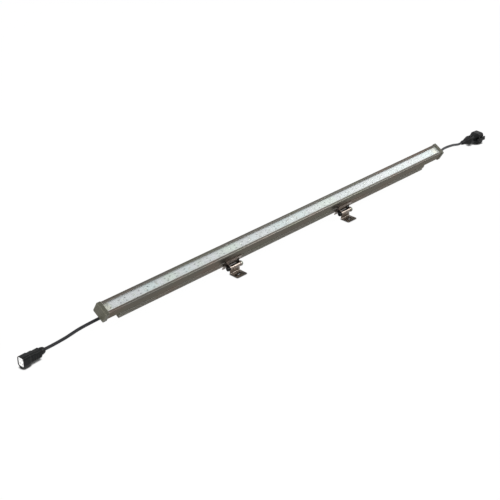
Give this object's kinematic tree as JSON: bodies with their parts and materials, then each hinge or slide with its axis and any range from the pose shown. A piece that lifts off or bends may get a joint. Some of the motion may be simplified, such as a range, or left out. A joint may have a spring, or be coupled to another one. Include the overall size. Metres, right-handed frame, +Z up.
{
  "type": "wall washer light",
  "caption": "Slim outdoor linear wall washer: an aluminium LED bar under a clear lens, on hinged sliding feet, with short leads that end in a plug and a socket.",
  "frame": {"origin": "midway between the fixing slots of the two feet, on the surface that the feet are screwed to", "axes": "+X along the bar from the plug end to the socket end, +Y towards the back, +Z up out of the mounting surface"},
  "size_m": [1.3808, 0.0695, 0.0676],
  "materials": {
    "anodised": "satin",
    "cap_paint": "satin",
    "lens_glass": "clear, gloss",
    "seal_rubber": "matt",
    "soft_seal": "matt",
    "board_white": "white solder mask, satin",
    "led_white": "gloss",
    "dome_clear": "clear, gloss",
    "chip_grey": "matt",
    "screw_steel": "satin",
    "bolt_black": "black oxide, satin",
    "stainless": "satin",
    "copper_link": "tinned, satin",
    "board_green": "satin",
    "wire_red": "satin",
    "wire_black": "satin",
    "moulded_black": "fine spark-eroded matt",
    "nut_brass": "nickel plated, satin",
    "lead_rubber": "matt",
    "insert_white": "satin",
    "contact_brass": "satin"
  },
  "bodies": {
    "foot_l": {"foot_left": "stainless"},
    "clamp_l": {"clamp_plate_left": "stainless", "clamp_screw_left": "screw_steel", "clamp_washer_left": "screw_steel", "slot_nut_left": "screw_steel", "pivot_bolt_left": "bolt_black", "pivot_washer_left": "screw_steel", "pivot_nut_left": "screw_steel"},
    "bar": {"housing": "anodised", "lens": "lens_glass", "lens_seals": "soft_seal", "led_board_1": "board_white", "led_board_2": "board_white", "led_board_3": "board_white", "led_board_4": "board_white", "led_packages": "led_white", "led_domes": "dome_clear", "board_parts": "chip_grey", "board_screws": "screw_steel", "board_links": "copper_link", "driver_board": "board_green", "driver_parts": "chip_grey", "supply_wires_left": "wire_red", "supply_wires_right": "wire_black", "feed_wires": "wire_black", "end_cap_left": "cap_paint", "end_cap_right": "cap_paint", "cap_gasket_left": "soft_seal", "cap_gasket_right": "soft_seal", "cap_screw_left": "screw_steel", "cap_screw_right": "screw_steel", "entry_block_left": "moulded_black", "entry_block_right": "moulded_black", "entry_nut_left": "nut_brass", "entry_nut_right": "nut_brass", "entry_boot_left": "lead_rubber", "entry_boot_right": "lead_rubber", "lead_left": "lead_rubber", "lead_right": "lead_rubber", "plug_shell": "moulded_black", "plug_insert": "insert_white", "plug_pins": "contact_brass", "plug_seal": "seal_rubber", "plug_boot": "lead_rubber", "socket_shell": "moulded_black", "socket_insert": "insert_white", "socket_contacts": "contact_brass", "socket_boot": "lead_rubber", "latch_pin": "screw_steel"},
    "clamp_r": {"clamp_plate_right": "stainless", "clamp_screw_right": "screw_steel", "clamp_washer_right": "screw_steel", "slot_nut_right": "screw_steel", "pivot_bolt_right": "bolt_black", "pivot_washer_right": "screw_steel", "pivot_nut_right": "screw_steel"},
    "foot_r": {"foot_right": "stainless"},
    "latch": {"socket_latch": "moulded_black"}
  },
  "joints": [
    {"name": "tilt_left", "type": "hinge", "parent": "foot_l", "child": "clamp_l", "pos_m": [-0.1675, 0.012, 0.0141], "axis": [1, 0, 0], "range_deg": [-50, 75]},
    {"name": "slide_left", "type": "slide", "parent": "clamp_l", "child": "bar", "axis": [1, 0, 0], "range_m": [-0.12, 0.25]},
    {"name": "slide_right", "type": "slide", "parent": "bar", "child": "clamp_r", "axis": [1, 0, 0], "range_m": [-0.12, 0.25]},
    {"name": "tilt_right", "type": "hinge", "parent": "clamp_r", "child": "foot_r", "pos_m": [0.1675, 0.012, 0.0141], "axis": [1, 0, 0], "range_deg": [-75, 50]},
    {"name": "latch_press", "type": "hinge", "parent": "bar", "child": "latch", "pos_m": [0.69742, 0.0329, 0.0135], "axis": [0, 0, -1], "range_deg": [0, 5], "stiffness_Nm_per_rad": 0.02, "springref_deg": -2.86}
  ],
  "couplings": [
    {"joint": "tilt_right", "follows": "tilt_left", "ratio": -1}
  ]
}
